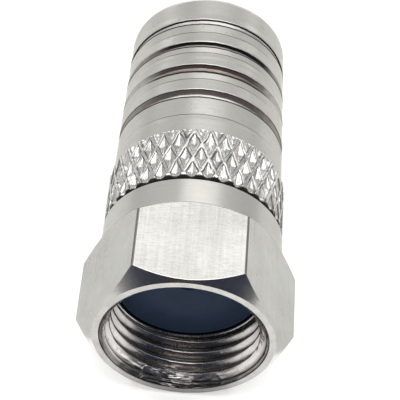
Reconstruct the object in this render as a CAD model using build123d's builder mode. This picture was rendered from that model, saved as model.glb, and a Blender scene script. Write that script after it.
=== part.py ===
from build123d import *
import os

os.makedirs("parts", exist_ok=True)

# A male F plug for RG6 coaxial cable: an 11 mm hexagonal coupling nut that
# turns freely on a tubular post, and a one-piece barrel with a knurled grip
# and ring grooves, which is squeezed onto the cable jacket.
#
# Frame: the plug lies on one flat of its nut, which is the plane Z = 0. Its
# axis runs along Y, half the nut's width above that plane. The nut's mouth
# faces -Y and the cable end +Y, and Y = 0 is the middle of the length. All
# sizes in millimetres.
# Turned profiles are drawn as (back, radius) points: "back" is the distance
# behind the nut's front face, along the axis.

# ---- driving dimensions ----------------------------------------------------
total_length = 24.0

# coupling nut
nut_across_flats = 11.0
corner_round_r = 0.15  # the bar's corners are slightly rounded
nut_length = 7.70
nut_face_r = 5.33  # outer edge of the narrow flat lip round the mouth
mouth_r = 4.94  # outer edge of the lead-in into the thread
thread_r = 4.78  # root of the 3/8-32 thread, cut plain here
thread_end_back = 3.60
relief_r = 4.98  # undercut behind the thread
front_chamfer_slope = 0.88  # axial drop for each mm of radius
rear_chamfer_slope = 0.94
collar_r = 5.46  # round collar behind the hexagon
collar_back = 5.85  # where the rear chamfer meets the collar
lip_front_back = 6.05  # inward lip that the post's flange holds
lip_rear_back = 6.75
lip_r = 3.66
pocket_r = 4.60  # pocket for the seal, open to the rear

# post
flange_r = 4.25
flange_front_back = 5.00
flange_rear_back = 5.95
neck_r = 3.60  # the nut's lip runs on this with 0.06 clearance
press_r = 3.30  # pressed into the barrel
stem_r = 2.80
barb_r = 3.05
tail_back = 18.90
post_bore_r = 2.45
guide_seat_r = 3.00
guide_seat_back = 6.20

# barrel
barrel_front_back = 7.85
knurl_rear_back = 11.78
knurl_r = 5.46
barrel_front_r = 5.28  # just behind the knurl
barrel_rear_r = 5.09  # at the cable end: the barrel tapers a little
# front edge, rear edge and depth of each ring groove; the front wall is square
# to the axis and the rear wall slopes at 45 degrees
grooves_back = [
    (14.65, 15.31, 0.28),
    (16.95, 17.56, 0.30),
    (19.23, 19.69, 0.20),
    (21.38, 21.85, 0.15),
]
rear_round_r = 0.45
press_end_back = 10.60
chamber_r = 3.75  # space for the braid and jacket, round the post
entry_r = 3.95  # wider entry for the jacket
entry_back = 19.20
entry_chamfer = 0.30

# conductor guide
guide_r = 4.30
guide_front_back = 3.68
guide_dish_r = 3.00
guide_dish_depth = 0.45
guide_hole_r = 0.60
guide_hole_length = 1.00
guide_funnel_r = 1.60

# seal ring
seal_ring_r = 4.05
seal_section_r = 0.40
seal_back = 7.27

# ---- planes ----------------------------------------------------------------
axis_height = nut_across_flats / 2
nut_face_y = -total_length / 2
# profiles are drawn here: local x runs back along the axis, local y is radius
turning = Plane(
    origin=(0, nut_face_y, axis_height), x_dir=(0, 1, 0), z_dir=(1, 0, 0)
)
plug_axis = Axis((0, nut_face_y, axis_height), (0, 1, 0))
# the hexagonal bar's section stands across the axis at the nut's front face
bar_section = Plane(
    origin=(0, nut_face_y, axis_height), x_dir=(1, 0, 0), z_dir=(0, 1, 0)
)


def barrel_r(back):
    """Outer radius of the tapered barrel."""
    share = (back - knurl_rear_back) / (total_length - knurl_rear_back)
    return barrel_front_r + (barrel_rear_r - barrel_front_r) * share


# ---- coupling nut ----------------------------------------------------------
# Hexagonal bar, then one turned profile: chamfers on both ends of the
# hexagon, a round collar, the threaded mouth, the relief, the inward lip and
# the seal pocket.
beyond_corner_r = 6.45  # just outside the corners of the hexagon
front_drop = (beyond_corner_r - nut_face_r) * front_chamfer_slope
rear_drop = (beyond_corner_r - collar_r) * rear_chamfer_slope

with BuildPart() as coupling_nut:
    with BuildSketch(bar_section):
        bar = RegularPolygon(
            radius=nut_across_flats / 2, side_count=6, major_radius=False
        )
        fillet(bar.vertices(), radius=corner_round_r)
    extrude(amount=nut_length)
    with BuildSketch(turning):
        with BuildLine():
            Polyline(
                (0, mouth_r),
                (0, nut_face_r),
                (front_drop, beyond_corner_r),
                (collar_back - rear_drop, beyond_corner_r),
                (collar_back, collar_r),
                (nut_length - 0.10, collar_r),
                (nut_length, collar_r - 0.10),
                (nut_length, pocket_r + 0.12),
                (nut_length - 0.12, pocket_r),
                (lip_rear_back, pocket_r),
                (lip_rear_back, lip_r),
                (lip_front_back, lip_r),
                (lip_front_back, relief_r),
                (thread_end_back + relief_r - thread_r, relief_r),
                (thread_end_back, thread_r),
                (mouth_r - thread_r, thread_r),
                close=True,
            )
        make_face()
    revolve(axis=plug_axis, mode=Mode.INTERSECT)
coupling_nut.part.label = "coupling_nut"
export_step(coupling_nut.part, "parts/coupling_nut.step")

# ---- post ------------------------------------------------------------------
# A turned tube. Its flange carries the nut, its neck is the nut's bearing,
# its middle is pressed into the barrel, and its barbed tail goes under the
# cable's braid.
with BuildPart() as post:
    with BuildSketch(turning):
        with BuildLine():
            Polyline(
                (flange_front_back, guide_seat_r),
                (flange_front_back, flange_r - 0.10),
                (flange_front_back + 0.10, flange_r),
                (flange_rear_back, flange_r),
                (flange_rear_back, neck_r),
                (barrel_front_back, neck_r),
                (barrel_front_back, press_r),
                (press_end_back, press_r),
                (press_end_back + 0.25, stem_r),
                (tail_back - 1.30, stem_r),
                (tail_back - 1.15, barb_r),
                (tail_back - 1.00, barb_r),
                (tail_back, post_bore_r + 0.15),
                (tail_back, post_bore_r),
                (guide_seat_back, post_bore_r),
                (guide_seat_back, guide_seat_r),
                close=True,
            )
        make_face()
    revolve(axis=plug_axis)
post.part.label = "post"
export_step(post.part, "parts/post.step")

# ---- barrel ----------------------------------------------------------------
# One turned piece: the knurled band (its diamonds are surface finish), the
# smooth tapered barrel with four ring grooves, a rounded cable end, and the
# stepped bore.
with BuildPart() as body_barrel:
    with BuildSketch(turning):
        with BuildLine():
            outline = [
                (barrel_front_back, press_r),
                (barrel_front_back, knurl_r - 0.15),
                (barrel_front_back + 0.15, knurl_r),
                (knurl_rear_back - 0.15, knurl_r),
                (knurl_rear_back, barrel_front_r),
            ]
            for front, rear, depth in grooves_back:
                outline += [
                    (front, barrel_r(front)),
                    (front, barrel_r(front) - depth),
                    (rear - depth, barrel_r(rear) - depth),
                    (rear, barrel_r(rear)),
                ]
            outline += [
                (total_length, barrel_rear_r),
                (total_length, entry_r + entry_chamfer),
                (total_length - entry_chamfer, entry_r),
                (entry_back, entry_r),
                (entry_back - (entry_r - chamber_r), chamber_r),
                (press_end_back, chamber_r),
                (press_end_back, press_r),
            ]
            Polyline(*outline, close=True)
        make_face()
    revolve(axis=plug_axis)
    # round the outer edge of the cable end
    cable_end_edge = (
        body_barrel.edges()
        .filter_by(GeomType.CIRCLE)
        .filter_by(lambda e: abs(e.radius - barrel_rear_r) < 1e-3)
        .sort_by(Axis.Y)[-1]
    )
    fillet(cable_end_edge, radius=rear_round_r)
body_barrel.part.label = "body_barrel"
export_step(body_barrel.part, "parts/body_barrel.step")

# ---- conductor guide -------------------------------------------------------
# Dark insulating disc at the base of the socket. Its spigot seats in the
# post's mouth, a funnel behind leads the cable's centre conductor through the
# small hole, and its front is slightly dished.
hole_front_back = guide_front_back + guide_dish_depth
with BuildPart() as pin_guide:
    with BuildSketch(turning):
        with BuildLine():
            Polyline(
                (hole_front_back, guide_hole_r),
                (guide_front_back, guide_dish_r),
                (guide_front_back, guide_r - 0.10),
                (guide_front_back + 0.10, guide_r),
                (flange_front_back, guide_r),
                (flange_front_back, guide_seat_r - 0.03),
                (guide_seat_back, guide_seat_r - 0.03),
                (guide_seat_back, guide_funnel_r),
                (hole_front_back + guide_hole_length, guide_hole_r),
                close=True,
            )
        make_face()
    revolve(axis=plug_axis)
pin_guide.part.label = "pin_guide"
export_step(pin_guide.part, "parts/pin_guide.step")

# ---- seal ring -------------------------------------------------------------
# Round-section rubber ring on the post's neck, inside the nut's rear pocket.
with BuildPart() as nut_seal:
    with BuildSketch(turning):
        with Locations((seal_back, seal_ring_r)):
            Circle(seal_section_r)
    revolve(axis=plug_axis)
nut_seal.part.label = "nut_seal"
export_step(nut_seal.part, "parts/nut_seal.step")
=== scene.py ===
import math

import bpy
import numpy as np
from mathutils import Matrix, Vector


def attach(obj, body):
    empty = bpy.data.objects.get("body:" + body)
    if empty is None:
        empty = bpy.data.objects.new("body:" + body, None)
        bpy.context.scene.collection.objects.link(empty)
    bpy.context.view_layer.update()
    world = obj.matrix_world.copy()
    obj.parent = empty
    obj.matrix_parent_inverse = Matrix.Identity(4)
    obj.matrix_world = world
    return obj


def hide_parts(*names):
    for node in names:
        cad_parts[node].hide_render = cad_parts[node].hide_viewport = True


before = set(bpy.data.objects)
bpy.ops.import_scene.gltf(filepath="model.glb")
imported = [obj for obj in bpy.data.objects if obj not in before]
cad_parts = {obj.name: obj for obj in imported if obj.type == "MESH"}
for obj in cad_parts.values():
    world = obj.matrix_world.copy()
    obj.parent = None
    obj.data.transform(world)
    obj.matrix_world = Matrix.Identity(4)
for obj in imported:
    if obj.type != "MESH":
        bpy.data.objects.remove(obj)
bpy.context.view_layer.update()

# ---- sizes, in millimetres -------------------------------------------------
# A profile point is (back, radius): back is the distance behind the nut's
# front face along the axis, as in the part's own source.
LENGTH = 24.0
AXIS_H = 5.5
ACROSS = 11.0
CORNER_ROUND = 0.15
TAU = 2 * math.pi


def to_frame(back, radius, theta):
    """Points of the row frame in metres. theta is 0 at the top, 90 degrees at +X."""
    x = radius * np.sin(theta)
    z = AXIS_H + radius * np.cos(theta)
    y = back - LENGTH / 2 + 0 * x
    return np.stack([x, y, z], -1) * 0.001


# ---- mesh tools ------------------------------------------------------------
def rounded(points, radii, steps=3, hold=0.025):
    """A closed profile with each corner replaced by a small arc, with a point to
    each side that keeps the shading of the straight runs flat."""
    P = np.array(points, float)
    n = len(P)
    out = []
    for k in range(n):
        p, a, b = P[k], P[k - 1], P[(k + 1) % n]
        ua, ub = a - p, b - p
        la, lb = np.linalg.norm(ua), np.linalg.norm(ub)
        ua, ub = ua / max(la, 1e-9), ub / max(lb, 1e-9)
        r = radii[k]
        if r <= 0:
            out.append(p)
            continue
        half = math.acos(max(-1.0, min(1.0, float(ua @ ub)))) / 2
        t = min(r / max(math.tan(half), 1e-6), 0.42 * la, 0.42 * lb)
        h = min(hold, 0.05 * la + 1e-4, 0.05 * lb + 1e-4)
        out.append(p + ua * (t + h))
        # an arc between the two tangent points
        for s in range(steps + 1):
            w = s / steps
            q = (1 - w) ** 2 * (p + ua * t) + 2 * w * (1 - w) * p + w**2 * (p + ub * t)
            out.append(q)
        out.append(p + ub * (t + h))
    return np.array(out)


def ring_mesh(name, rings, materials, closed=True):
    """A turned piece from rings of points. Each ring is (points, material), and its
    count of points is that of the next ring, half of it or twice it. The material
    is one number, or one for each column."""
    verts, start = [], []
    for ring in rings:
        start.append(sum(len(v) for v in verts))
        verts.append(ring[0])
    co = np.concatenate(verts)
    faces, slots = [], []
    m = len(rings)
    for k in range(m if closed else m - 1):
        q = (k + 1) % m
        na, nb = len(rings[k][0]), len(rings[q][0])
        sa, sb = start[k], start[q]
        slot = rings[k][1]
        by_column = not isinstance(slot, int)
        diag = rings[k][2] if len(rings[k]) > 2 else None
        if na == nb:
            for i in range(na):
                j = (i + 1) % na
                a, b, c, d = sa + i, sa + j, sb + j, sb + i
                use = int(slot[i]) if by_column else slot
                if diag is None:
                    faces.append((a, b, c, d))
                    slots.append(use)
                elif diag[i]:
                    faces += [(a, b, c), (a, c, d)]
                    slots += [use, use]
                else:
                    faces += [(a, b, d), (b, c, d)]
                    slots += [use, use]
        elif nb == 2 * na:
            for i in range(na):
                j = (i + 1) % na
                f0, f1, f2 = sb + 2 * i, sb + 2 * i + 1, sb + (2 * i + 2) % nb
                a, b = sa + i, sa + j
                faces += [(a, f1, f0), (a, b, f1), (b, f2, f1)]
                slots += [slot] * 3
        else:
            for i in range(nb):
                j = (i + 1) % nb
                f0, f1, f2 = sa + 2 * i, sa + 2 * i + 1, sa + (2 * i + 2) % na
                a, b = sb + i, sb + j
                faces += [(a, f0, f1), (a, f1, b), (b, f1, f2)]
                slots += [slot] * 3
    mesh = bpy.data.meshes.new(name)
    mesh.from_pydata(co.tolist(), [], faces)
    # outward faces
    vol = 0.0
    mesh.calc_loop_triangles()
    tri = np.array([t.vertices[:] for t in mesh.loop_triangles])
    A, B, C = co[tri[:, 0]], co[tri[:, 1]], co[tri[:, 2]]
    vol = float(np.einsum("ij,ij->i", A, np.cross(B, C)).sum())
    if vol < 0:
        mesh.flip_normals()
    for mat in materials:
        mesh.materials.append(mat)
    mesh.polygons.foreach_set("material_index", slots)
    mesh.polygons.foreach_set("use_smooth", [True] * len(mesh.polygons))
    mesh.update()
    obj = bpy.data.objects.new(name, mesh)
    bpy.context.scene.collection.objects.link(obj)
    return obj


def turned(name, outline, radii, count, materials, steps=3):
    """A plain turned piece from one closed profile."""
    prof = rounded(outline, radii, steps)
    th = np.arange(count) * TAU / count
    rings = []
    for b, r in prof:
        rings.append((to_frame(b, r * np.ones(count), th), 0))
    return ring_mesh(name, rings, materials)


def smooth_noise(rng, shape, passes):
    """Seeded noise that wraps in both directions, softened by neighbour means."""
    n = rng.standard_normal(shape)
    for _ in range(passes):
        n = (
            n
            + np.roll(n, 1, 0)
            + np.roll(n, -1, 0)
            + np.roll(n, 1, 1)
            + np.roll(n, -1, 1)
        ) / 5
    return n / max(n.std(), 1e-9)


# ---- materials -------------------------------------------------------------
def new_material(name):
    mat = bpy.data.materials.new(name)
    mat.use_nodes = True
    nt = mat.node_tree
    nt.nodes.clear()
    out = nt.nodes.new("ShaderNodeOutputMaterial")
    bsdf = nt.nodes.new("ShaderNodeBsdfPrincipled")
    nt.links.new(bsdf.outputs["BSDF"], out.inputs["Surface"])
    return mat, nt, bsdf


def millimetres(nt):
    """Object coordinates in millimetres, measured from the axis."""
    tc = nt.nodes.new("ShaderNodeTexCoord")
    mp = nt.nodes.new("ShaderNodeMapping")
    mp.inputs["Scale"].default_value = (1000, 1000, 1000)
    mp.inputs["Location"].default_value = (0, 0, -AXIS_H)
    nt.links.new(tc.outputs["Object"], mp.inputs["Vector"])
    return mp.outputs["Vector"]


def stretched_noise(nt, vec, scale, detail=3.0, rough=0.55, seed=0.0):
    mp = nt.nodes.new("ShaderNodeMapping")
    mp.inputs["Scale"].default_value = scale
    mp.inputs["Location"].default_value = (seed, seed * 1.7, seed * 0.6)
    no = nt.nodes.new("ShaderNodeTexNoise")
    no.inputs["Scale"].default_value = 1.0
    no.inputs["Detail"].default_value = detail
    no.inputs["Roughness"].default_value = rough
    nt.links.new(vec, mp.inputs["Vector"])
    nt.links.new(mp.outputs["Vector"], no.inputs["Vector"])
    return no.outputs["Fac"]


def remap(nt, fac, lo, hi, a=0.0, b=1.0):
    m = nt.nodes.new("ShaderNodeMapRange")
    m.inputs["From Min"].default_value = a
    m.inputs["From Max"].default_value = b
    m.inputs["To Min"].default_value = lo
    m.inputs["To Max"].default_value = hi
    nt.links.new(fac, m.inputs["Value"])
    return m.outputs["Result"]


def mix_colour(nt, fac, a, b):
    m = nt.nodes.new("ShaderNodeMix")
    m.data_type = "RGBA"
    m.blend_type = "MIX"
    nt.links.new(fac, m.inputs["Factor"])
    # the colour sockets of the Mix node
    for sock, v in ((m.inputs[6], a), (m.inputs[7], b)):
        if isinstance(v, tuple):
            sock.default_value = (*v, 1)
        else:
            nt.links.new(v, sock)
    return m.outputs[2]


def maths(nt, op, a, b=None):
    m = nt.nodes.new("ShaderNodeMath")
    m.operation = op
    for sock, v in ((m.inputs[0], a), (m.inputs[1], b)):
        if v is None:
            continue
        if isinstance(v, (int, float)):
            sock.default_value = v
        else:
            nt.links.new(v, sock)
    return m.outputs[0]


def bump(nt, height, distance, strength=1.0, normal=None):
    b = nt.nodes.new("ShaderNodeBump")
    b.inputs["Strength"].default_value = strength
    b.inputs["Distance"].default_value = distance
    nt.links.new(height, b.inputs["Height"])
    if normal is not None:
        nt.links.new(normal, b.inputs["Normal"])
    return b.outputs["Normal"]


def nickel(
    name,
    dark,
    light,
    rough,
    marks,
    mark_height,
    pits=0.0,
    scratch=None,
    seed=1.0,
    mottle=1.4,
    recess_shade=None,
    outline=None,
    low_shade=None,
    fade=None,
):
    """Nickel plating: a warm grey metal whose tone and gloss drift slowly, with fine
    tool marks stretched along the direction that the tool ran."""
    mat, nt, bsdf = new_material(name)
    vec = millimetres(nt)
    bsdf.inputs["Metallic"].default_value = 1.0
    drift = stretched_noise(nt, vec, (0.35, 0.35, 0.35), 3, 0.6, seed)
    fine = stretched_noise(nt, vec, (mottle * 4, mottle * 4, mottle * 4), 4, 0.65, seed + 3)
    tool = stretched_noise(nt, vec, marks, 4, 0.6, seed + 7)
    tone = maths(nt, "ADD", maths(nt, "MULTIPLY", drift, 0.45), maths(nt, "MULTIPLY", tool, 0.35))
    tone = maths(nt, "ADD", tone, maths(nt, "MULTIPLY", fine, 0.2))
    colour = mix_colour(nt, remap(nt, tone, 0.0, 1.0, 0.36, 0.64), dark, light)
    rgh = remap(nt, tone, rough[1], rough[0], 0.34, 0.66)
    height = maths(nt, "ADD", tool, maths(nt, "MULTIPLY", fine, 0.25))
    normal = bump(nt, height, mark_height)
    if pits:
        spots = stretched_noise(nt, vec, (3.1, 3.1, 3.1), 5, 0.7, seed + 11)
        pit = remap(nt, spots, 0.0, 1.0, 0.60, 0.72)
        normal = bump(nt, maths(nt, "MULTIPLY", pit, -1.0), pits, 1.0, normal)
        colour = mix_colour(nt, maths(nt, "MULTIPLY", pit, 0.5), colour, tuple(0.35 * c for c in dark))
        rgh = maths(nt, "ADD", rgh, maths(nt, "MULTIPLY", pit, 0.15))
    if scratch:
        marks2, share, depth, tint = scratch
        s = stretched_noise(nt, vec, marks2, 2, 0.5, seed + 19)
        cut = remap(nt, s, 0.0, 1.0, share, share + 0.03)
        normal = bump(nt, maths(nt, "MULTIPLY", cut, -1.0), depth, 1.0, normal)
        colour = mix_colour(nt, maths(nt, "MULTIPLY", cut, tint), colour, tuple(0.5 * c for c in dark))
    black = tuple(0.12 * c for c in dark)
    if recess_shade or outline or low_shade or fade:
        sep = nt.nodes.new("ShaderNodeSeparateXYZ")
        nt.links.new(vec, sep.inputs[0])
        xx = maths(nt, "MULTIPLY", sep.outputs["X"], sep.outputs["X"])
        zz = maths(nt, "MULTIPLY", sep.outputs["Z"], sep.outputs["Z"])
        rad = maths(nt, "SQRT", maths(nt, "ADD", xx, zz))
    if recess_shade:
        # painted shade in the recesses: darker towards the radius r0, plain from r1 on
        r0, r1, share = recess_shade
        colour = mix_colour(nt, remap(nt, rad, share, 0.0, r0, r1), colour, black)
    if outline:
        # painted shade: a thin dark line that follows one radius
        r0, half, share = outline
        off = maths(nt, "ABSOLUTE", maths(nt, "SUBTRACT", rad, r0))
        colour = mix_colour(nt, remap(nt, off, share, 0.0, 0.4 * half, half), colour, black)
    if low_shade:
        # painted shade on the lowest side: all of it below z0 and outside r0, none above z1
        # or inside r1, and none in front of y1
        z0, z1, r0, r1, y1, share = low_shade
        low = remap(nt, sep.outputs["Z"], share, 0.0, z0, z1)
        far = remap(nt, rad, 1.0, 0.0, r0, r1)
        deep = remap(nt, sep.outputs["Y"], 0.0, 1.0, y1, y1 + 0.3)
        low_shade_mix = maths(nt, "MULTIPLY", maths(nt, "MULTIPLY", low, far), deep)
        colour = mix_colour(nt, low_shade_mix, colour, black)
    if fade:
        # painted shade and reflection: the tone at the top turns to another tone away from the top,
        # reached between two angles on each side
        left, right, tone2 = fade
        turn = maths(nt, "ARCTAN2", sep.outputs["X"], sep.outputs["Z"])
        l0, l1 = (math.radians(v) for v in left)
        r0, r1 = (math.radians(v) for v in right)
        away = maths(
            nt, "MAXIMUM", remap(nt, turn, 1.0, 0.0, l1, l0), remap(nt, turn, 0.0, 1.0, r0, r1)
        )
        colour = mix_colour(nt, away, colour, tone2)
    nt.links.new(colour, bsdf.inputs["Base Color"])
    nt.links.new(rgh, bsdf.inputs["Roughness"])
    nt.links.new(normal, bsdf.inputs["Normal"])
    return mat


m_barrel = nickel(
    "nickel_barrel", (0.60, 0.59, 0.565), (0.72, 0.71, 0.685), (0.27, 0.40),
    (0.5, 9.0, 0.5), 1.2e-6, pits=1.5e-6, scratch=((0.9, 16.0, 0.9), 0.68, 2e-6, 0.35), seed=1.0,
)
m_groove = nickel(
    "nickel_groove", (0.17, 0.148, 0.138), (0.27, 0.24, 0.225), (0.20, 0.32),
    (0.8, 11.0, 0.8), 1.5e-6, seed=2.3,
)
# painted shade: a thin dark line round the rims of the knurl's pits
m_knurl = nickel(
    "nickel_knurl", (0.70, 0.69, 0.67), (0.86, 0.855, 0.84), (0.15, 0.26),
    (2.5, 2.5, 2.5), 3.0e-6, pits=4e-6, seed=3.1, mottle=1.8, outline=(5.395, 0.05, 0.80),
)
m_flat = nickel(
    "nickel_flat", (0.57, 0.565, 0.545), (0.73, 0.725, 0.71), (0.20, 0.30),
    (7.0, 0.22, 7.0), 1.3e-6, scratch=((2.0, 15.0, 2.0), 0.58, 0.7e-6, 0.16), seed=4.7,
)
m_collar = nickel(
    "nickel_collar", (0.62, 0.61, 0.585), (0.74, 0.73, 0.705), (0.26, 0.36),
    (0.5, 10.0, 0.5), 1.0e-6, seed=5.9,
)
m_chamfer = nickel(
    "nickel_chamfer", (0.60, 0.58, 0.56), (0.76, 0.75, 0.73), (0.16, 0.28),
    (0.5, 15.0, 0.5), 4.5e-6, seed=6.3,
)
# painted shade: darker towards the thread's roots, and on the bore's lower side away from the mouth
m_thread = nickel(
    "nickel_thread", (0.50, 0.475, 0.455), (0.70, 0.68, 0.66), (0.17, 0.30),
    (1.2, 7.0, 1.2), 2.5e-6, pits=3e-6, seed=7.7, mottle=2.0, recess_shade=(4.74, 4.60, 0.75),
    low_shade=(-4.1, -2.9, 4.58, 4.45, -10.95, 0.45),
)
# painted shade: the lip is darker on its lower side, where it faces the shaded floor in front
m_lip = nickel(
    "nickel_lip", (0.39, 0.385, 0.37), (0.53, 0.52, 0.50), (0.22, 0.34),
    (1.5, 1.5, 1.5), 2.0e-6, seed=6.9, mottle=2.4, low_shade=(-5.2, -3.4, 4.1, 4.0, -13.0, 0.55),
)
# painted shade: a dark nickel for the hex corner arcs and the rear chamfer's edge
m_edge_shade = nickel(
    "nickel_edge_shade", (0.20, 0.19, 0.18), (0.32, 0.31, 0.30), (0.30, 0.40),
    (3.0, 3.0, 3.0), 1.0e-6, seed=11.3,
)
# painted shade, with some dirt: near-black nickel for the gaps between nut and barrel, the mouth's
# inner edge and the edges of the grooves
m_soil_and_shade = nickel(
    "nickel_soiled_and_shaded", (0.030, 0.026, 0.024), (0.060, 0.054, 0.050), (0.55, 0.7),
    (1.5, 6.0, 1.5), 1.0e-6, seed=12.9,
)
m_brown = nickel(
    "nickel_stained", (0.42, 0.36, 0.34), (0.56, 0.50, 0.47), (0.36, 0.48),
    (0.8, 9.0, 0.8), 1.5e-6, seed=10.9,
)
# painted reflection: brown at the top of one groove's floor and wall, turning to the barrel's grey
# towards the sides
m_brown_reflection_top = nickel(
    "nickel_brown_reflection_top", (0.34, 0.29, 0.265), (0.50, 0.44, 0.41), (0.36, 0.48),
    (0.8, 9.0, 0.8), 3.0e-6, seed=10.1, fade=((-32, -50), (38, 58), (0.62, 0.61, 0.59)),
)
# painted shade: a dark brown rear wall for one groove at the top, turning to a lighter grey towards the
# sides
m_wall_shade_brown = nickel(
    "nickel_wall_shade_brown", (0.20, 0.165, 0.15), (0.33, 0.285, 0.265), (0.38, 0.50),
    (0.8, 9.0, 0.8), 3.0e-6, seed=13.1, fade=((-30, -55), (40, 60), (0.42, 0.38, 0.36)),
)
# painted shade: a near-black rear wall for one groove at the top, turning to a mid grey towards the
# sides
m_wall_shade_dark = nickel(
    "nickel_wall_shade_dark", (0.030, 0.026, 0.026), (0.085, 0.080, 0.085), (0.30, 0.45),
    (1.5, 6.0, 1.5), 1.0e-6, seed=14.3, fade=((-28, -42), (46, 58), (0.40, 0.37, 0.35)),
)
# painted shade: the fine tool lines are dark at the top and turn to the barrel's grey towards the sides
m_line_shade = nickel(
    "nickel_line_shade", (0.17, 0.16, 0.15), (0.27, 0.255, 0.245), (0.32, 0.42),
    (0.5, 9.0, 0.5), 1.0e-6, seed=15.7, fade=((-22, -50), (26, 55), (0.62, 0.61, 0.59)),
)
m_post = nickel(
    "nickel_post", (0.58, 0.57, 0.55), (0.74, 0.73, 0.71), (0.24, 0.34),
    (0.6, 9.0, 0.6), 1.2e-6, seed=8.2,
)
m_bore = nickel(
    "nickel_bore", (0.52, 0.50, 0.48), (0.66, 0.64, 0.62), (0.30, 0.42),
    (0.6, 8.0, 0.6), 2.0e-6, seed=9.4,
)

# dark moulded insulator
m_guide, nt, bsdf = new_material("guide_insulator")
vec = millimetres(nt)
g1 = stretched_noise(nt, vec, (0.9, 0.9, 0.9), 4, 0.6, 2.0)
g2 = stretched_noise(nt, vec, (14.0, 14.0, 14.0), 3, 0.6, 5.0)
nt.links.new(
    mix_colour(nt, remap(nt, g1, 0.0, 1.0, 0.35, 0.65), (0.018, 0.029, 0.054), (0.022, 0.034, 0.062)),
    bsdf.inputs["Base Color"],
)
bsdf.inputs["Specular IOR Level"].default_value = 0.15
nt.links.new(remap(nt, g2, 0.42, 0.60, 0.3, 0.7), bsdf.inputs["Roughness"])
nt.links.new(bump(nt, g2, 3e-6), bsdf.inputs["Normal"])

# black rubber
m_rubber, nt, bsdf = new_material("seal_rubber_black")
vec = millimetres(nt)
g1 = stretched_noise(nt, vec, (10.0, 10.0, 10.0), 4, 0.6, 2.0)
nt.links.new(
    mix_colour(nt, g1, (0.010, 0.010, 0.011), (0.022, 0.022, 0.023)), bsdf.inputs["Base Color"]
)
nt.links.new(remap(nt, g1, 0.50, 0.75), bsdf.inputs["Roughness"])
nt.links.new(bump(nt, g1, 4e-6), bsdf.inputs["Normal"])

# ---- coupling nut ----------------------------------------------------------
NUT_LEN, FACE_R, MOUTH_R = 7.70, 5.33, 4.94
THREAD_ROOT, THREAD_CREST, PITCH = 4.78, 4.37, 0.79375
RELIEF_R, COLLAR_R, COLLAR_BACK = 4.98, 5.46, 5.85
THREAD_END = 3.60
CREST_PHASE = 0.365  # where a crest crosses the top of the bore, behind the face

flat_half = ACROSS / 2 * math.tan(math.pi / 6) - CORNER_ROUND * math.tan(math.pi / 6)
corner_c = (ACROSS / 2 - CORNER_ROUND) / math.cos(math.pi / 6)
edge = math.atan2(flat_half, ACROSS / 2)
hold = math.atan2(flat_half - 0.02, ACROSS / 2)
one = np.concatenate(
    [
        np.linspace(-hold, hold, 40),
        np.linspace(edge, math.pi / 3 - edge, 9),
    ]
)
nut_theta = np.concatenate([one + k * math.pi / 3 for k in range(6)])
off_corner = np.abs((nut_theta % (math.pi / 3)) - math.pi / 6)
corner_arc = off_corner < math.pi / 6 - edge + 1e-6


def hexagon_r(theta):
    """Radius of the hexagonal bar with rounded corners."""
    d = (theta + math.pi / 6) % (math.pi / 3) - math.pi / 6
    flat = ACROSS / 2 / np.cos(d)
    e = math.pi / 6 - np.abs(d)
    s = np.clip(CORNER_ROUND**2 - (corner_c * np.sin(e)) ** 2, 0, None)
    arc = corner_c * np.cos(e) + np.sqrt(s)
    return np.where(np.abs(d) <= edge + 1e-9, flat, arc)


def thread_r(theta, back):
    """Internal 60-degree thread with a narrow flat crest and root."""
    ph = ((back - CREST_PHASE) / PITCH - theta / TAU + 0.5) % 1.0 - 0.5
    d = np.abs(ph) * PITCH  # 0 on a crest
    # a rounded crest, straight flanks and a narrow root
    round_half, root_half = 0.11, 0.035
    flank = PITCH / 2 - root_half
    slope = 1 / (flank - round_half / 2)
    t = np.where(d < round_half, slope * d * d / (2 * round_half), slope * (d - round_half / 2))
    return THREAD_CREST + (THREAD_ROOT - THREAD_CREST) * np.clip(t, 0, 1)


rng = np.random.default_rng(11)
th = nut_theta
Rh = hexagon_r(th)
cols = []
for rh in Rh:
    zf = (rh - FACE_R) * 0.88
    zr = COLLAR_BACK - (rh - COLLAR_R) * 0.94
    P = [
        (0.0, MOUTH_R),
        (0.0, FACE_R),
        (zf, rh),
        (zr, rh),
        (COLLAR_BACK, COLLAR_R),
        (NUT_LEN - 0.10, COLLAR_R),
        (NUT_LEN, COLLAR_R - 0.10),
        (NUT_LEN, 4.72),
        (NUT_LEN - 0.12, 4.60),
        (6.75, 4.60),
        (6.75, 3.66),
        (6.05, 3.66),
        (6.05, RELIEF_R),
        (THREAD_END + 0.21, RELIEF_R),
    ]
    R = [0.02, 0.05, 0.07, 0.05, 0.04, 0.03, 0.03, 0.03, 0.03, 0.05, 0.03, 0.03, 0.06, 0.05]
    cols.append(rounded(P, R))
cols = np.array(cols)  # (columns, points, 2)
# the rounded() call closes each profile from the relief back to the mouth: the
# thread's rows go in between
per = 6
rings = []
for j in range(cols.shape[1]):
    corner = j // per
    # the run after a corner's last point belongs to that corner's slot
    slot = {
        0: 4,  # front lip
        1: 2,  # front chamfer
        2: 0,  # flats
        3: 2,  # rear chamfer
        4: 1,  # collar
        5: 1,
        6: 1,
        # painted shade: the nut's rear inner edge and counterbore, in the gap to the barrel, take the
        # near-black slot 5
        7: 5,
        8: 5, 9: 3, 10: 3, 11: 3, 12: 3, 13: 3,
    }[corner]
    inside = j % per
    if inside < 2 and corner in (1, 2, 3, 4):
        slot = {1: 4, 2: 2, 3: 0, 4: 2}[corner]
    # painted shade: the hex corner arcs and the rear chamfer's edge take the dark edge nickel, slot 6
    if slot == 0:
        slot = np.where(corner_arc, 6, 0)
    if corner == 3 and 1 <= inside <= 3:
        slot = 6
    rings.append((to_frame(cols[:, j, 0], cols[:, j, 1], th), slot))
backs = np.concatenate(
    [
        np.linspace(THREAD_END + 0.19, THREAD_END - 0.02, 9),
        np.arange(THREAD_END - 0.045, 0.02, -0.028),
    ]
)
jitter = smooth_noise(rng, (len(backs), len(th)), 2)
coarse = smooth_noise(rng, (len(backs), len(th)), 10)
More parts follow.
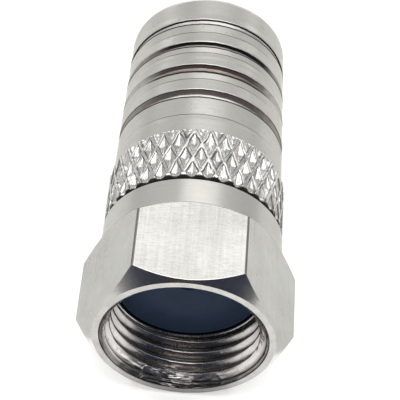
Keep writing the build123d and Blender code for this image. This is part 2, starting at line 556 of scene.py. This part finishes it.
# marks drawn out along the turns
streak = rng.standard_normal((len(backs), len(th)))
for _ in range(5):
    streak = (streak + np.roll(streak, 1, 1) + np.roll(streak, -1, 1)) / 3
streak = (streak + np.roll(streak, 1, 0) + np.roll(streak, -1, 0)) / 3
streak /= streak.std()
for i, b in enumerate(backs):
    r = thread_r(th, b)
    near_crest = np.clip((THREAD_ROOT - r) / (THREAD_ROOT - THREAD_CREST), 0, 1)
    r = r + jitter[i] * 0.002 * near_crest + coarse[i] * 0.004 * near_crest
    # the first turns are torn, most of all on one side
    torn = np.clip((1.15 - b) / 0.4, 0, 1) * (0.16 + 0.84 * np.exp(-(((th - 3.30) / 0.36) ** 2)))
    r = r - torn * (0.034 * streak[i] + 0.012 * jitter[i]) - 0.0006 * streak[i]
    # the tool that cut the mouth's lead-in left its edge a little torn
    lead = MOUTH_R - b * 1.0 + coarse[i] * 0.010 + jitter[i] * 0.004 + torn * 0.030 * streak[i]
    # the last turn runs out into a narrow land at the relief
    land = 4.35 + np.clip((THREAD_END - 0.11 - b) / 0.08, 0, 1) * 0.5
    r = np.minimum(r, land)
    r = np.maximum(r, lead)
    r = np.maximum(r, 4.35 + (b - THREAD_END - 0.05) * 4.8)
    r = np.minimum(r, RELIEF_R)
    # painted shade: the rows at the very mouth take the near-black slot 5
    rings.append((to_frame(b, r, th), 5 if b < 0.06 else 3))
nut = ring_mesh(
    "coupling_nut_body",
    rings,
    [m_flat, m_collar, m_chamfer, m_thread, m_lip, m_soil_and_shade, m_edge_shade],
)
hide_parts("coupling_nut")
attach(nut, "nut")

# ---- barrel ----------------------------------------------------------------
BAND_F, BAND_R = 7.85, 11.78
KNURL_R, PIT_DEPTH = 5.46, 0.25
FRONT_R, REAR_R = 5.28, 5.09
FULL, MID, HALF = 720, 360, 180
th_full = np.arange(FULL) * TAU / FULL
th_mid = np.arange(MID) * TAU / MID
th_half = np.arange(HALF) * TAU / HALF
ROWS_PER = 12  # rows between two rows of crossings
CROSS_BACK, CROSS_STEP, CROSS_TH = 10.55, 1.14, math.radians(1.7)


def barrel_r(back):
    share = (back - BAND_R) / (LENGTH - BAND_R)
    return FRONT_R + (REAR_R - FRONT_R) * share


pit_rng = np.random.default_rng(3)
pit_size = 1 + 0.16 * pit_rng.standard_normal((36, 36))


def knurl_depth(theta, back, wob=0.0):
    """Depth below the ridges of a crossed knurl: raised ridges cross at each lattice
    point and a diamond pit lies between them, steep at its rim and shallow inside."""
    u = (theta - CROSS_TH) / (TAU / 36)
    v = (back - CROSS_BACK) / (2 * CROSS_STEP)
    dA = np.abs((u - v + 0.5) % 1.0 - 0.5)
    dB = np.abs((u + v + 0.5) % 1.0 - 0.5)
    d = np.minimum(dA, dB) * 0.8785  # mm across the ridge
    size = pit_size[np.floor(u - v).astype(int) % 36, np.floor(u + v).astype(int) % 36]
    rim = np.clip((d - 0.06 - wob) / 0.075, 0, 1)
    inside = np.clip((d - 0.135) / 0.28, 0, 1)
    return PIT_DEPTH * np.clip(size, 0.7, 1.3) * (0.42 * rim + 0.58 * inside), dA < dB


rings = []


def plain(b, r, count, slot):
    th_ = {FULL: th_full, MID: th_mid, HALF: th_half}[count]
    rings.append((to_frame(b, r * np.ones(count), th_), slot))


# slots: 0 barrel, 1 groove, 2 knurl, 3 bore, 4 soil and painted shade; the barrel's front face and the
# knurl's first row, in the gap behind the nut, take slot 4
prof_front = rounded(
    [(BAND_F, 3.30), (BAND_F, KNURL_R - 0.24), (10.6, 5.0), (10.6, 3.30)], [0.03, 0, 0, 0]
)
for b, r in prof_front[:6]:
    plain(b, r, HALF, 4)
plain(BAND_F, 4.6, HALF, 4)
plain(BAND_F, 5.0, MID, 4)
band_backs = [BAND_F + 0.0]
lattice = [
    CROSS_BACK + k * CROSS_STEP / ROWS_PER
    for k in range(-60, 60)
    if BAND_F + 0.03 < CROSS_BACK + k * CROSS_STEP / ROWS_PER < BAND_R - 0.02
]
band_backs += lattice + [BAND_R]
rk = np.random.default_rng(5)
nz = smooth_noise(rk, (len(band_backs), FULL), 3)
nz2 = smooth_noise(rk, (len(band_backs), FULL), 14)
for i, b in enumerate(band_backs):
    depth, closerA = knurl_depth(th_full, b + 0.02 * nz2[i], 0.022 * nz2[i])
    r = KNURL_R - depth - 0.006 * np.abs(nz[i]) - 0.010 * np.clip(nz2[i], 0, 2)
    r = np.minimum(r, KNURL_R - 0.24 + (b - BAND_F) * 1.3)
    if b > BAND_R - 0.2:
        r = np.minimum(r, barrel_r(b) + 0.01 + (BAND_R - b) * 1.1)
    if b >= BAND_R:
        r = np.full(FULL, barrel_r(b))
    rings.append((to_frame(b, r, th_full), 4 if b < BAND_F + 0.05 else 2, closerA))
plain(BAND_R + 0.04, barrel_r(BAND_R), MID, 0)

# ring grooves: front, rear, depth, how far the floor falls towards the front,
# length of the sloping rear wall, width of the
# line of painted shade in front, the angles between which that line shows, the materials of
# the floor and of the rear wall, and the width of the line of painted shade at the rear
GROOVES = [
    (14.65, 15.31, 0.25, 0.08, 0.25, 0.11, None, 0, 7, 0.04),
    (16.95, 17.56, 0.27, 0.02, 0.12, 0.17, (-52, 58), 6, 6, 0.03),
    (19.23, 19.69, 0.17, 0.02, 0.14, 0.10, None, 5, 8, 0),
    (21.40, 21.85, 0.09, 0.07, 0.07, 0.11, None, 0, 4, 0),
]
# fine steps left by the tool, between the grooves; each is drawn with a strip of painted shade, slot 9
LINES = [13.13, 16.29, 18.72, 20.63]


def outer_outline(full):
    """Corners of the barrel from the knurl to the bore, as (back, radius, corner
    round, slot, angles, feature). With full off, the parts that taper away round
    the barrel have shrunk."""
    out = [(BAND_R + 0.08, barrel_r(BAND_R + 0.08), 0, 0, None, 0)]
    feats = [("g", g) for g in GROOVES] + [("l", line) for line in LINES]
    feats.sort(key=lambda f: f[1][0] if f[0] == "g" else f[1])
    for n, (kind, f) in enumerate(feats):
        if kind == "l":
            dip = 0.015 if full else 0.001
            out += [
                (f - 0.40, barrel_r(f - 0.40), 0.03, 0, (-75, 75), n),
                (f - 0.06, barrel_r(f) - dip, 0, 9, (-75, 75), n),
                (f, barrel_r(f) - dip, 0, 0, (-75, 75), n),
            ]
            continue
        a, b, d, fall, s_, w, span, floor_slot, wall_slot, line = f
        if span and not full:
            w, line, d = 0.004, 0.003, 0.12
        # the rib swells a little up to the groove, and the tool left a small burr
        # on the far rim
        swell = 0.015 if a > 15 else 0.002
        out += [
            (a - w - 0.01, barrel_r(a) + swell, 0, 4, span, n),
            (a - 0.01, barrel_r(a) + swell, 0, 4, span, n),
            (a, barrel_r(a) - 0.02, 0, 4, span, n),
            (a, barrel_r(a) - d - fall, 0.04, floor_slot, span, n),
            (b - s_, barrel_r(b) - d, 0.04, wall_slot, span, n),
        ]
        if line:
            out.append((b - line, barrel_r(b) - d * line / s_, 0, 4, span, n))
        out += [
            (b, barrel_r(b) + 0.018, 0.06, 0, span, n),
            (b + 0.50, barrel_r(b + 0.5), 0.10, 0, span, n),
        ]
    out += [
        (LENGTH, REAR_R, 0.45, 0, None, 9),
        (LENGTH, 4.25, 0.04, 3, None, 9),
        (LENGTH - 0.3, 3.95, 0.04, 3, None, 9),
        (19.2, 3.95, 0.03, 3, None, 9),
        (19.0, 3.75, 0.03, 3, None, 9),
        (10.6, 3.75, 0.05, 3, None, 9),
        (10.6, 3.30, 0, 3, None, 9),
    ]
    return out


def taper(theta, span):
    """1 between the two angles, falling to 0 just inside them."""
    if span is None:
        return np.ones_like(theta)
    deg = (np.degrees(theta) + 180) % 360 - 180
    t = np.clip(np.minimum(deg - span[0], span[1] - deg) / 22, 0, 1)
    return t * t * (3 - 2 * t)


corners, thin = outer_outline(True), outer_outline(False)
prof = rounded([c[:2] for c in corners], [c[2] for c in corners], 3)
prof_thin = rounded([c[:2] for c in thin], [c[2] for c in thin], 3)
# the edges of each groove wander a little round the barrel
wander = smooth_noise(np.random.default_rng(21), (10, MID), 2) * 0.007
wander[9] = 0
k = 0
for _, _, q, slot, span, n in corners:
    for _ in range(1 if q <= 0 else per):
        (b, r), (b2, r2) = prof[k], prof_thin[k]
        th_, shift = (th_mid, wander[n]) if r > 4.4 else (th_half, 0)
        t = taper(th_, span)
        rings.append((to_frame(b2 + (b - b2) * t + shift, r2 + (r - r2) * t, th_), slot))
        k += 1
barrel = ring_mesh("body_barrel_shell", rings, [
    m_barrel, m_groove, m_knurl, m_bore, m_soil_and_shade, m_brown, m_brown_reflection_top, m_wall_shade_brown, m_wall_shade_dark, m_line_shade,
])
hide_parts("body_barrel")
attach(barrel, "barrel")

# ---- post ------------------------------------------------------------------
post = turned(
    "post_tube",
    [
        (5.00, 3.00), (5.00, 4.15), (5.10, 4.25), (5.95, 4.25), (5.95, 3.60),
        (7.85, 3.60), (7.85, 3.30), (10.60, 3.30), (10.85, 2.80), (17.60, 2.80),
        (17.75, 3.05), (17.90, 3.05), (18.90, 2.60), (18.90, 2.45), (6.20, 2.45), (6.20, 3.00),
    ],
    [0.03, 0.03, 0.03, 0.04, 0.03, 0.03, 0.03, 0.03, 0.05, 0.05, 0.03, 0.03, 0.04, 0.03, 0.03, 0.03],
    240,
    [m_post],
)
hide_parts("post")
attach(post, "barrel")

# ---- conductor guide -------------------------------------------------------
dish = [
    (3.68 + 0.45 * (0.5 + 0.5 * math.cos(math.pi * (r - 0.6) / 2.4)), r)
    for r in np.linspace(0.6, 3.0, 13)
]
guide = turned(
    "pin_guide_disc",
    dish
    + [
        (3.68, 4.27), (3.71, 4.30), (5.00, 4.30),
        (5.00, 2.97), (6.20, 2.97), (6.20, 1.60), (5.13, 0.60),
    ],
    [0.05] + [0.2] * 12 + [0.01, 0.01, 0.05, 0.03, 0.04, 0.04, 0.04],
    240,
    [m_guide],
)
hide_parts("pin_guide")
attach(guide, "barrel")

# ---- seal ring -------------------------------------------------------------
n_sec, n_round = 20, 180
th180 = np.arange(n_round) * TAU / n_round
rings = []
for k in range(n_sec):
    a = k * TAU / n_sec
    rings.append(
        (to_frame(7.27 + 0.40 * math.cos(a), (4.05 + 0.40 * math.sin(a)) * np.ones(n_round), th180), 0)
    )
seal = ring_mesh("nut_seal_ring", rings, [m_rubber])
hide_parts("nut_seal")
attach(seal, "barrel")

# ---- floor, light and camera -----------------------------------------------
bpy.ops.mesh.primitive_grid_add(x_subdivisions=4, y_subdivisions=4, size=6.0, location=(0, 0, -0.00002))
floor = bpy.context.object
floor.name = "floor"
mat, nt, bsdf = new_material("floor_white")
bsdf.inputs["Base Color"].default_value = (0.90, 0.90, 0.90, 1)
bsdf.inputs["Emission Color"].default_value = (1, 1, 1, 1)
bsdf.inputs["Emission Strength"].default_value = 0.12
bsdf.inputs["Roughness"].default_value = 0.9
bsdf.inputs["Specular IOR Level"].default_value = 0.1
floor.data.materials.append(mat)


def area_light(name, at, look, size, power, colour=(1, 1, 1), size_y=None):
    data = bpy.data.lights.new(name, "AREA")
    data.shape = "RECTANGLE"
    data.size = size
    data.size_y = size_y or size
    data.energy = power
    data.color = colour
    ob = bpy.data.objects.new(name, data)
    ob.location = at
    ob.rotation_mode = "QUATERNION"
    ob.rotation_quaternion = (Vector(look) - Vector(at)).to_track_quat("-Z", "Y")
    bpy.context.scene.collection.objects.link(ob)
    return ob


def card(name, at, look, size_x, size_y, colour):
    """A dark card that shows only in reflections."""
    mesh = bpy.data.meshes.new(name)
    x, y = size_x / 2, size_y / 2
    mesh.from_pydata([(-x, -y, 0), (x, -y, 0), (x, y, 0), (-x, y, 0)], [], [(0, 1, 2, 3)])
    ob = bpy.data.objects.new(name, mesh)
    ob.location = at
    ob.rotation_mode = "QUATERNION"
    ob.rotation_quaternion = (Vector(look) - Vector(at)).to_track_quat("-Z", "Y")
    bpy.context.scene.collection.objects.link(ob)
    m, nt_, b_ = new_material(name)
    b_.inputs["Base Color"].default_value = (*colour, 1)
    b_.inputs["Roughness"].default_value = 1.0
    b_.inputs["Specular IOR Level"].default_value = 0.0
    mesh.materials.append(m)
    ob.visible_camera = False
    ob.visible_diffuse = False
    ob.visible_shadow = False
    return ob


aim = (0, 0, 0.0055)


def at(azimuth, elevation, distance):
    """A place round the plug. Azimuth is from +Y towards +X, in degrees."""
    a, e = math.radians(azimuth), math.radians(elevation)
    return (
        distance * math.cos(e) * math.sin(a),
        distance * math.cos(e) * math.cos(a),
        aim[2] + distance * math.sin(e),
    )


def panel(name, azimuth, elevation, distance, width, height, radiance, colour=(1, 1, 1)):
    """A softbox with the given radiance."""
    return area_light(
        name, at(azimuth, elevation, distance), aim, width,
        radiance * math.pi * width * height, colour, height,
    )


panel("softbox_back", 9, 58, 0.50, 0.33, 0.25, 1.00, (1.0, 0.995, 0.965))
panel("softbox_low", 0, 8, 0.60, 0.85, 0.18, 1.35)
panel("softbox_top", 180, 84, 0.50, 0.42, 0.34, 3.0)
panel("softbox_left", -68, 43, 0.50, 0.26, 0.34, 2.0)
panel("softbox_right", 68, 43, 0.50, 0.26, 0.34, 2.0)
fill = panel("fill_front", 180, 38, 0.55, 0.40, 0.30, 3.6)
fill.visible_glossy = False


def front_flag():
    """A dark curved screen on the camera's side. It shows only in reflections, and
    fades into the room at its ends and its top."""
    nu, nv, rad = 48, 20, 0.30
    verts, faces = [], []
    for j in range(nv + 1):
        for i in range(nu + 1):
            a = math.radians(180 - 70 + 140 * i / nu)
            verts.append((rad * math.sin(a), rad * math.cos(a), 0.001 + 0.46 * j / nv))
    for j in range(nv):
        for i in range(nu):
            q = j * (nu + 1) + i
            faces.append((q, q + 1, q + nu + 2, q + nu + 1))
    mesh = bpy.data.meshes.new("flag_front")
    mesh.from_pydata(verts, [], faces)
    ob = bpy.data.objects.new("flag_front", mesh)
    bpy.context.scene.collection.objects.link(ob)
    m = bpy.data.materials.new("flag_front")
    m.use_nodes = True
    n = m.node_tree
    n.nodes.clear()
    out = n.nodes.new("ShaderNodeOutputMaterial")
    em = n.nodes.new("ShaderNodeEmission")
    n.links.new(em.outputs[0], out.inputs["Surface"])
    tc = n.nodes.new("ShaderNodeTexCoord")
    sep = n.nodes.new("ShaderNodeSeparateXYZ")
    n.links.new(tc.outputs["Object"], sep.inputs[0])
    x, z = sep.outputs["X"], sep.outputs["Z"]
    warm = maths(n, "ABSOLUTE", maths(n, "ADD", x, 0.012))
    warm = remap(n, warm, 1.0, 0.0, 0.02, 0.09)
    dark = mix_colour(n, warm, (0.024, 0.030, 0.052), (0.066, 0.040, 0.038))
    left = remap(n, x, 1.0, 0.0, -0.252, -0.195)
    right = remap(n, x, 0.0, 1.0, 0.215, 0.270)
    top = remap(n, z, 0.0, 1.0, 0.34, 0.46)
    edge_ = maths(n, "MAXIMUM", maths(n, "MAXIMUM", left, right), top)
    n.links.new(mix_colour(n, edge_, dark, (0.46, 0.46, 0.46)), em.inputs["Color"])
    mesh.materials.append(m)
    ob.visible_camera = False
    ob.visible_diffuse = False
    ob.visible_shadow = False


front_flag()
card("flag_left", at(-80, 31, 0.40), aim, 0.36, 0.25, (0.40, 0.40, 0.40))
card("flag_right", at(80, 31, 0.40), aim, 0.36, 0.25, (0.40, 0.40, 0.40))
# grey sheets on the floor at both sides, for the side flats to reflect
card("sheet_left", (-0.128, 0, 0.0001), (-0.128, 0, 1), 0.24, 0.30, (0.55, 0.55, 0.535))
card("sheet_right", (0.128, 0, 0.0001), (0.128, 0, 1), 0.24, 0.30, (0.55, 0.55, 0.535))

world = bpy.data.worlds.new("studio")
bpy.context.scene.world = world
world.use_nodes = True
wn = world.node_tree
bg = wn.nodes["Background"]
bg.inputs["Color"].default_value = (0.81, 0.81, 0.785, 1)
bg.inputs["Strength"].default_value = 0.55

cam_data = bpy.data.cameras.new("camera")
cam = bpy.data.objects.new("camera", cam_data)
bpy.context.scene.collection.objects.link(cam)
cam_data.sensor_width = 36.0
cam_data.lens = 135.0
cam_data.clip_start = 0.001
cam_data.clip_end = 50.0
W = Matrix(
    (
        (0.9968805, -0.0786598, 0.0064767, 0.8653e-3),
        (0.0634047, 0.7492685, -0.6592243, -62.7499e-3),
        (0.0470017, 0.6575784, 0.7519185, 75.7174e-3),
        (0, 0, 0, 1),
    )
)
cam.matrix_world = W
bpy.context.scene.camera = cam

scene = bpy.context.scene
scene.view_settings.view_transform = "Standard"
scene.view_settings.look = "None"
scene.view_settings.exposure = 0.0
scene.view_settings.gamma = 1.0
